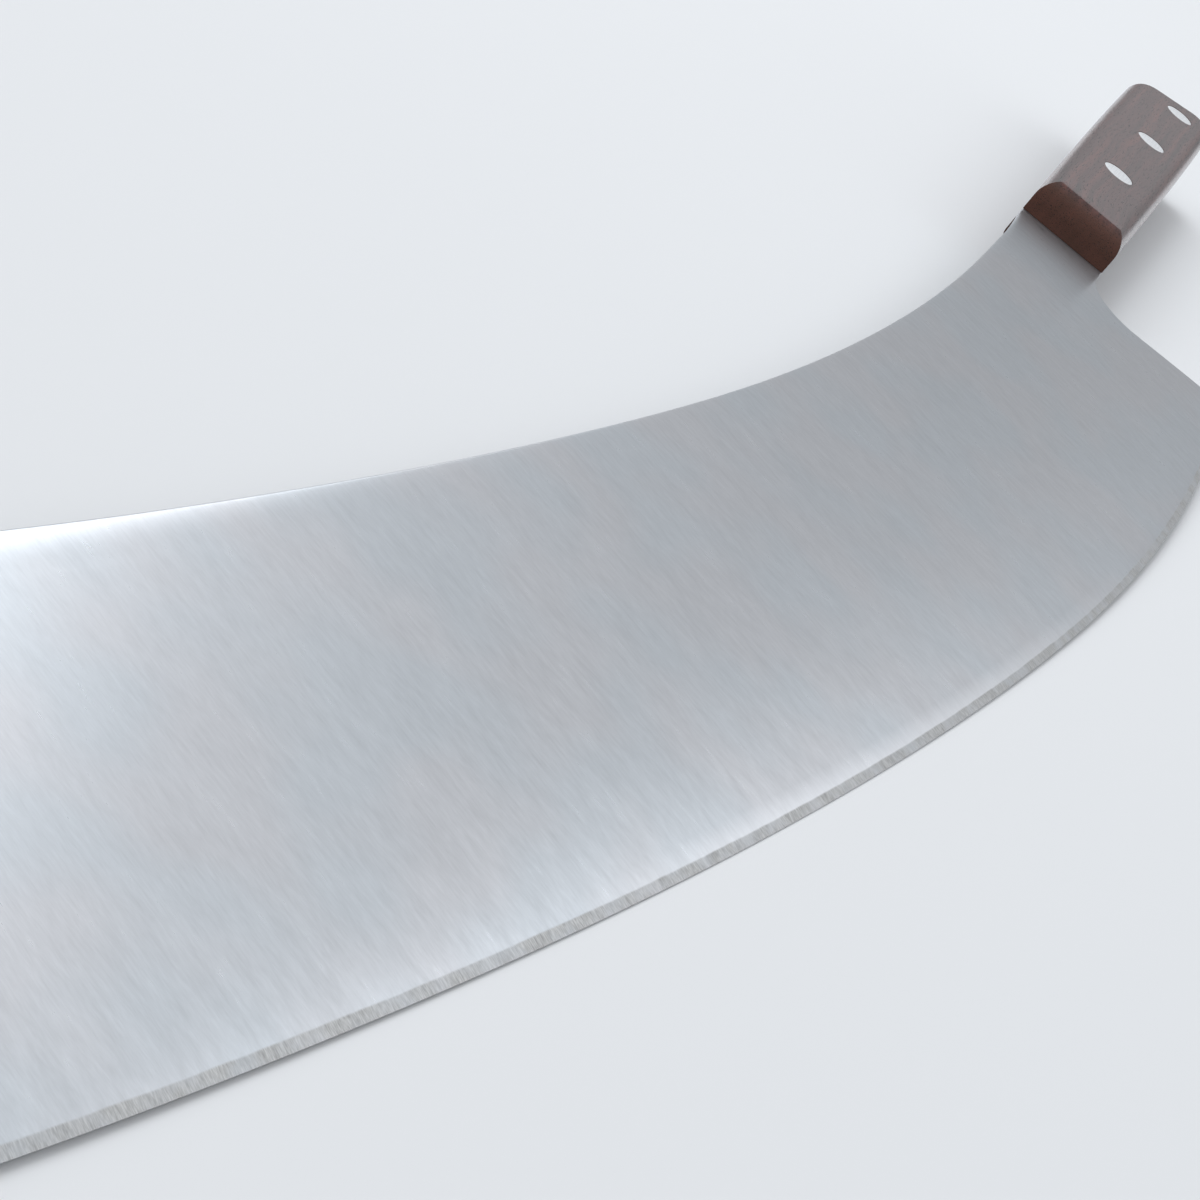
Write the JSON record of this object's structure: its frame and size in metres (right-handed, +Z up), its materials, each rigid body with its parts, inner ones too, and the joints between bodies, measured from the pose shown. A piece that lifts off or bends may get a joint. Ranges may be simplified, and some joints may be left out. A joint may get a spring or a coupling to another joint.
{
  "type": "mezzaluna",
  "caption": "Long curved rocker knife with a ground steel blade, a full tang at each end and riveted dark wooden handle scales.",
  "frame": {"origin": "on the surface the knife lies on, under the middle of its box", "axes": "+X along the blade towards the right handle, +Y across it from the cutting edge to the spine, +Z up; the plate leans 7.0 degrees about X, because the knife rests on the belly of its edge and on both handles"},
  "size_m": [0.6574, 0.1152, 0.0219],
  "materials": {
    "blade_steel": "brushed across the blade",
    "handle_wood": "oiled and buffed",
    "rivet_steel": "polished flush"
  },
  "bodies": {
    "root": {"blade": "blade_steel", "scale_front_right": "handle_wood", "scale_back_right": "handle_wood", "scale_front_left": "handle_wood", "scale_back_left": "handle_wood", "rivet_socket_right_1": "rivet_steel", "rivet_socket_right_2": "rivet_steel", "rivet_socket_right_3": "rivet_steel", "rivet_socket_left_1": "rivet_steel", "rivet_socket_left_2": "rivet_steel", "rivet_socket_left_3": "rivet_steel", "rivet_pin_right_1": "rivet_steel", "rivet_pin_right_2": "rivet_steel", "rivet_pin_right_3": "rivet_steel", "rivet_pin_left_1": "rivet_steel", "rivet_pin_left_2": "rivet_steel", "rivet_pin_left_3": "rivet_steel"}
  },
  "joints": []
}
